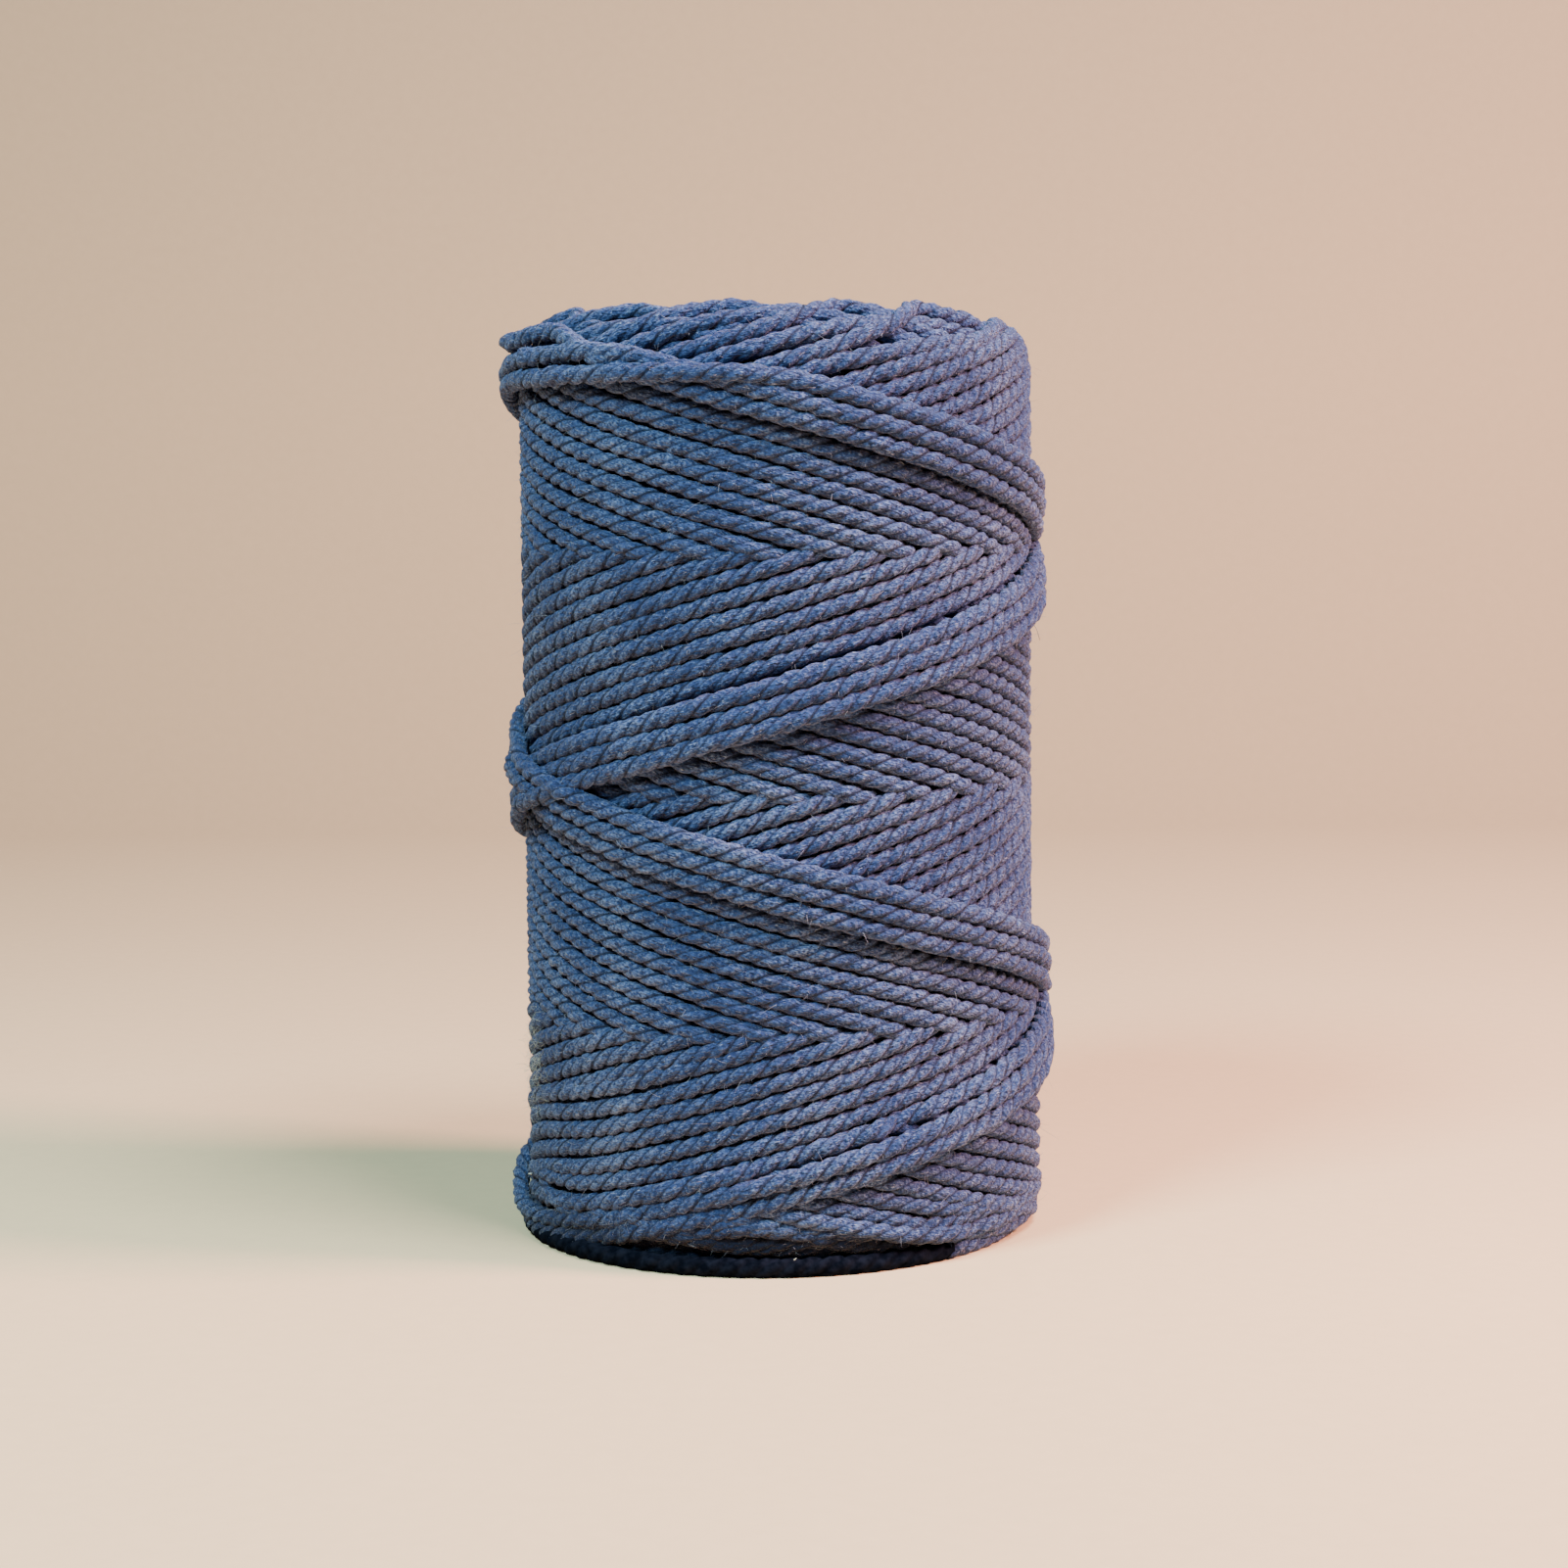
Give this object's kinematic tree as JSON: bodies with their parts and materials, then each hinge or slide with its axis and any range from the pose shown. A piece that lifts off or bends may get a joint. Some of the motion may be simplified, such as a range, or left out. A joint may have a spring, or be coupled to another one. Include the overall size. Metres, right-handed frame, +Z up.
{
  "type": "roll of twisted cotton cord",
  "caption": "Standing roll of thick three-ply twisted cotton cord, cross-wound in a herringbone on a plain cardboard tube with no flanges.",
  "frame": {"origin": "on the tube's axis, in the plane that the roll stands on", "axes": "+Z up along the tube's axis; -Y is the side that the picture shows, +X is to its right"},
  "size_m": [0.0942, 0.0921, 0.1568],
  "materials": {
    "cardboard": "matt spiral-wound cardboard",
    "cotton_cord": "matt twisted cotton, navy blue"
  },
  "bodies": {
    "root": {"core_tube": "cardboard", "inner_winding": "cotton_cord", "outer_winding": "cotton_cord"}
  },
  "joints": []
}
